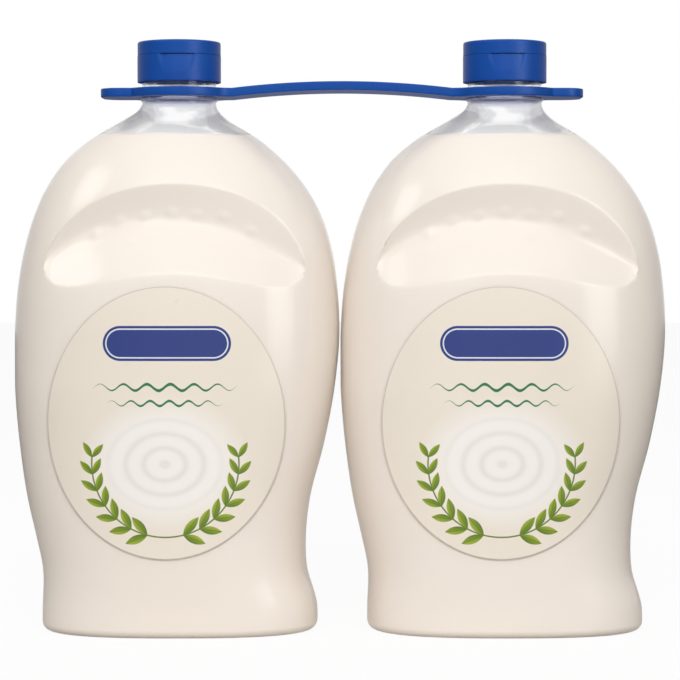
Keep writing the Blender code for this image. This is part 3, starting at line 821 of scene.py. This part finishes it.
def clearFinish():
    look = {
        "clear": (0.985, 0.99, 0.995),
        # painted reflection of the ring's blue, laid on the neck bead's band
        "bead": tint(190, 192, 222),
        "ripple": 18.0,
        "rippleDepth": 0.0004,
        "thin": 0.5,         # share of the eye's rays that the empty wall lets straight through
        "coneThin": 0.35,    # and what the cone under the bead adds to it, seen square on
        "thinFall": 0.6,     # less this towards its edges
    }
    finish = Finish("clearPlastic", transmissionWeight=1.0, ior=1.4)
    z = finish.axes(finish.place())[2]
    # painted reflection: the thick neck bead's band is tinted with the ring's blue, standing in for the blue
    # seen through it
    bead = z.below(shoulderZ + 2.0 * mm, 0.6 * mm) * (1 - z.below(shoulderZ - 1.6 * mm, 1.6 * mm))
    finish.set("baseColor", finish.mix(bead, look["clear"], look["bead"]))
    cloud = finish.noise(look["ripple"], 2.0)
    empty = 1 - z.below(soap["fill"] + 0.5 * mm, 1.0 * mm)
    finish.set("roughness", (0.17 + 0.06 * cloud) * (1 - 0.85 * empty))
    finish.bump(cloud, look["rippleDepth"], 0.3)
    # light on its way to the soap passes straight through, and so does part of it where the wall is empty
    straight = finish.node("BsdfTransparent")
    facing = finish.node("LayerWeight", None, {"Blend": 0.5}, output=1)
    cone = z.below(shoulderZ - 2.0 * mm, 2.0 * mm)
    through = empty * (look["thin"] + cone * (look["coneThin"] - look["thinFall"] * facing))
    finish.overlay(finish.rays("Shadow", "Diffuse").most(through), straight)
    return finish


def soapFinish():
    look = {"light": tint(247, 239, 230), "deep": tint(243, 233, 222)}
    finish = Finish("creamSoap", specularIorLevel=0.2)
    cloud = finish.noise(9.0, 3.0)
    finish.set("baseColor", finish.mix(cloud, look["deep"], look["light"]))
    finish.set("roughness", 0.45 + 0.15 * cloud)
    finish.bump(cloud, 0.0003, 0.2)
    return finish


def blueFinish(name, turned):
    look = {"face": tint(4, 72, 158), "pale": tint(10, 77, 165), "speckle": 1400.0, "ring": 0.0011}
    finish = Finish(name, specularIorLevel=0.25)
    z = finish.axes(finish.place())[2]
    cloud = finish.noise(45.0, 2.0)
    finish.set("baseColor", finish.mix(cloud, look["face"], look["pale"]))
    finish.set("roughness", 0.34 + 0.10 * cloud)
    height = finish.noise(look["speckle"], 2.0)
    if turned:
        height = height + 0.35 * (z * (2 * math.pi / look["ring"])).sine()
    finish.bump(height, 0.00003, 0.6)
    return finish


def foamFinish():
    look = {"pore": tint(205, 205, 200), "face": tint(236, 236, 232), "scale": 2500.0}
    finish = Finish("linerFoam")
    cells = finish.node("TexVoronoi", None, {"Vector": finish.place(), "Scale": look["scale"]})
    finish.set("baseColor", finish.mix(cells, look["face"], look["pore"]))
    finish.set("roughness", 0.7 + 0.2 * cells)
    finish.bump(cells, 0.0002, 0.6)
    return finish


# label print, in millimetres right of and above the label's middle: a plain blue lozenge with a keyline,
# two green wave lines, a wreath of small leaves round the foot, and pale ripples inside it
labelPrint = {
    "film": tint(243, 235, 222),
    "filmShade": tint(239, 230, 216),
    "white": tint(250, 247, 243),
    "rippleShade": tint(226, 224, 220),
    "edge": tint(205, 196, 186),
    "blue": tint(44, 62, 132),
    "keyline": tint(235, 238, 246),
    "green": tint(38, 122, 74),
    "leaf": tint(160, 178, 52),
    "leafDeep": tint(88, 122, 34),
    "stem": tint(104, 128, 44),
    "soft": 0.25,
    "lozenge": (1.0, 37.5, 30.0, 8.2),
    "waves": [(0.0, 17.0, 34.0, 1.5, 11.0, 0.75), (0.0, 9.5, 27.0, 1.2, 9.0, 0.6)],
    "wreath": (0.0, -19.0, 34.5),
    "leafPairs": 7,          # on each side of the foot
    "firstPair": 14.0,       # degrees from the foot
    "pairStep": 13.5,
    "leafHalf": 5.6,
    "leafShrink": 0.25,      # shorter from pair to pair
    "leafLean": 0.62,        # radians out from the stem
    "leafWidth": 0.36,       # share of its length
    "vein": 0.14,
    "rippleStep": 8.5,
    "rippleShare": 0.55,
}


def labelFinish():
    finish = Finish("labelFilm", specularIorLevel=0.5)
    x, z = finish.axes(finish.node("UVMap", {"uv_map": "flatPlace"}))[:2]
    soft = labelPrint["soft"]
    cloud = finish.noise(30.0, 2.0)
    color = finish.mix(cloud, labelPrint["film"], labelPrint["filmShade"])

    # whiter towards the foot, with ripples that widen about a point on the wreath's middle
    centreX, centreZ, reach = labelPrint["wreath"]
    away = ((x - centreX) ** 2 + ((z - centreZ) * 1.25) ** 2).root()
    bend = away + 2.0 * finish.noise(24.0, 2.0)
    white = away.below(reach * 0.95, 16.0)
    color = finish.mix(white, color, labelPrint["white"])
    ripple = (bend * (2 * math.pi / labelPrint["rippleStep"])).sine() * 0.5 + 0.5
    ripple = ripple**3 * white * labelPrint["rippleShare"] * away.below(26.0, 20.0)
    color = finish.mix(ripple, color, labelPrint["rippleShade"])

    # lozenge: how far outside a box with rounded ends each spot is
    midX, midZ, halfWidth, halfHeight = labelPrint["lozenge"]
    outX = (abs(x - midX) - (halfWidth - halfHeight)).most(0.0)
    outside = (outX**2 + abs(z - midZ) ** 2).root() - halfHeight
    color = finish.mix(outside.below(0.0, soft), color, labelPrint["blue"])
    color = finish.mix(abs(outside + 1.5).below(0.3, soft), color, labelPrint["keyline"])

    # wave lines: a sine of the place along, as thick as its last number, tapered at the ends
    for midX, midZ, half, swing, length, thick in labelPrint["waves"]:
        height = z - midZ - swing * ((x - midX) * (2 * math.pi / length)).sine()
        taper = thick * (1 - ((x - midX) / half) ** 2).most(0.0)
        mask = (abs(height) - taper).below(0.0, soft) * abs(x - midX).below(half, soft)
        color = finish.mix(mask, color, labelPrint["green"])

    # wreath: a stem on an arc, and pairs of leaves along it, each bounded by two parabolas of its length
    stem = abs(((x - centreX) ** 2 + (z - centreZ) ** 2).root() - reach).below(0.35, soft)
    color = finish.mix(stem * (z - centreZ).below(4.0, soft), color, labelPrint["stem"])
    for turn in (-1, 1):
        for k in range(labelPrint["leafPairs"]):
            angle = math.radians(-90 + turn * (labelPrint["firstPair"] + labelPrint["pairStep"] * k))
            size = labelPrint["leafHalf"] - labelPrint["leafShrink"] * k
            for lean in (-1, 1):
                aim = angle + turn * math.pi / 2 + lean * labelPrint["leafLean"]
                baseX = centreX + reach * math.cos(angle) + size * math.cos(aim)
                baseZ = centreZ + reach * math.sin(angle) + size * math.sin(aim)
                along = ((x - baseX) * math.cos(aim) + (z - baseZ) * math.sin(aim)) / size
                across = (z - baseZ) * math.cos(aim) - (x - baseX) * math.sin(aim)
                side = abs(across) - labelPrint["leafWidth"] * size * (1 - along**2)
                leaf = side.below(0.0, soft) * abs(along).below(1.0, 0.02)
                shade = (0.5 + 0.35 * along + 0.25 * across).clamped()
                green = finish.mix(shade, labelPrint["leafDeep"], labelPrint["leaf"])
                color = finish.mix(leaf, color, green)
                vein = abs(across).below(labelPrint["vein"], soft)
                color = finish.mix(leaf * vein, color, labelPrint["leafDeep"])

    # the film's cut edge
    rim = ((x / (label["halfWidth"] / mm)) ** 2 + (z / (label["halfHeight"] / mm)) ** 2).root()
    color = finish.mix((1 - rim).below(0.006, 0.004) * 0.8, color, labelPrint["edge"])
    finish.set("baseColor", color)
    finish.set("roughness", 0.25 + 0.1 * cloud)
    finish.bump(cloud, 0.0002, 0.2)
    return finish


clearPlastic = clearFinish()
creamSoap = soapFinish()
capBlue = blueFinish("capBlue", True)
handleBlue = blueFinish("handleBlue", False)
linerFoam = foamFinish()
labelFilm = labelFinish()
print("finishes made")

# the pack

handlePiece = makeHandle("carrierHandle", handleBlue)
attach(handlePiece, "carrier")
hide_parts("carrier_handle")
print("handle made")

baseProfile = capBaseProfile()
lidProfile = capLidProfile()
lidPoles = (lidProfile[0, 1], lidTop)
blue = "blue_plastic"
for side, place in sides.items():
    tail = side.capitalize()
    neckX = place["neck"]
    made = [
        (makeBottle("bottleShell" + tail, neckX, clearPlastic), "bottle", "bottle_", "clear_plastic"),
        (makeSoap("soapFill" + tail, neckX, creamSoap), "bottle", "soap_", "cream_soap"),
        (makeLabel("frontLabel" + tail, neckX, labelFilm), "bottle", "front_label_", "label_film"),
        (makeTurned("capBase" + tail, neckX, baseProfile, capBlue, False), "cap", "cap_base_", blue),
        (makeTurned("capLid" + tail, neckX, lidProfile, capBlue, True, lidPoles), "lid", "cap_lid_", blue),
    ]
    for piece, body, node, slotName in made:
        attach(piece, place[body])
        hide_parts(node + side)
    film = makeFilmHinge("filmHinge" + tail, neckX, place, capBlue)
    start = (neckX, place["hingeY"], place["hingeZ"] - 0.3 * mm)
    end = (neckX, place["hingeY"], place["hingeZ"] + 0.3 * mm)
    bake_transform(film)
    liner = frame["nodes"]["cap_liner_" + side]
    liner.data.materials.clear()
    liner.data.materials.append(linerFoam.material)
    print(side + " bottle made")

# floor, world and lamps: a white studio with darker outer sides, so that the pack's outer edges shade off

stage = {
    "reach": 6.0,
    "drop": 0.2 * mm,          # the floor lies this far under the pack
    "floorFace": (0.9, 0.9, 0.9),
    "bounceNear": (0.70, 0.675, 0.65),   # what the floor hands back to the pack, near its middle
    "bounceFar": (0.26, 0.25, 0.235),    # and out to the sides
    "nearReach": 0.25,
    "floorGlow": 0.92,         # share of plain white that the camera sees in the floor
    "ambient": 0.55,
    "ambientTint": (1.0, 0.98, 0.96),
    "sideFall": 0.62,           # how much darker the far left and right are
    "backdrop": 0.5,           # what the white backdrop adds behind the pack
}

# each softbox: place, aim, width, height, power and which rays it is left out of
lamps = {
    "keyBox": ((1.30, -1.30, 0.65), (0, 0, 0.15), 0.7, 1.3, 13.0, "diffuse"),
    "topBox": ((0.0, -0.5, 1.7), (0, 0, 0.1), 1.8, 1.4, 4.5, "none"),
    "frontBox": ((0.0, -2.6, 1.75), (0, 0, 0.12), 2.0, 1.6, 49.0, "glossy"),
    "glintBox": ((-1.19, -0.63, 1.24), (-0.1, 0, 0.2), 0.6, 0.4, 4.0, "diffuse"),
}

floorMesh = bpy.data.meshes.new("floor")
reach, drop = stage["reach"], -stage["drop"]
corners = [(-reach, -reach, drop), (reach, -reach, drop), (reach, reach, drop), (-reach, reach, drop)]
floorMesh.from_pydata(corners, [], [(0, 1, 2, 3)])
floor = bpy.data.objects.new("floor", floorMesh)
bpy.context.scene.collection.objects.link(floor)
floorFinish = Finish("studioFloor", roughness=0.9, specularIorLevel=0.0)
x = floorFinish.axes(floorFinish.place())[0]
near = abs(x).below(stage["nearReach"], 1.4 * stage["nearReach"])
bounce = floorFinish.mix(near, stage["bounceFar"], stage["bounceNear"])
fromPack = floorFinish.rays("Diffuse", "Glossy")
floorFinish.set("baseColor", floorFinish.mix(fromPack, stage["floorFace"], bounce))
seenFloor = floorFinish.rays("Camera", "Transmission") * stage["floorGlow"]
floorFinish.overlay(seenFloor, floorFinish.node("Emission"))
floorMesh.materials.append(floorFinish.material)

world = bpy.data.worlds.new("studio")
bpy.context.scene.world = world
world.use_nodes = True
studio = Graph(world.node_tree)
x, y = studio.axes(studio.place("Generated"))[:2]
sideShade = 1 - x**2 * stage["sideFall"]
strength = sideShade * stage["ambient"] + y.most(0.0) ** 2 * stage["backdrop"]
lit = studio.node("Background", None, {"Color": stage["ambientTint"], "Strength": strength})
mirrored = studio.node("Background", None, {"Color": (1.0, 1.0, 1.0), "Strength": sideShade})
white = studio.node("Background", None, {"Color": (1.0, 1.0, 1.0), "Strength": 1.0})
toPack = studio.node("MixShader", None, {0: studio.rays("Glossy"), 1: lit, 2: mirrored})
studio.blend(studio.rays("Camera", "Transmission"), toPack, white, "World Output")

for name, (place, target, width, height, power, unlit) in lamps.items():
    lamp = bpy.data.lights.new(name, "AREA")
    lamp.shape = "RECTANGLE"
    lamp.size = width
    lamp.size_y = height
    lamp.energy = power
    holder = bpy.data.objects.new(name, lamp)
    bpy.context.scene.collection.objects.link(holder)
    holder.location = place
    holder.rotation_euler = (Vector(target) - Vector(place)).to_track_quat("-Z", "Y").to_euler()
    holder.visible_diffuse = unlit != "diffuse"
    holder.visible_glossy = unlit != "glossy"

bpy.context.scene.view_settings.view_transform = "Standard"
print("stage made")
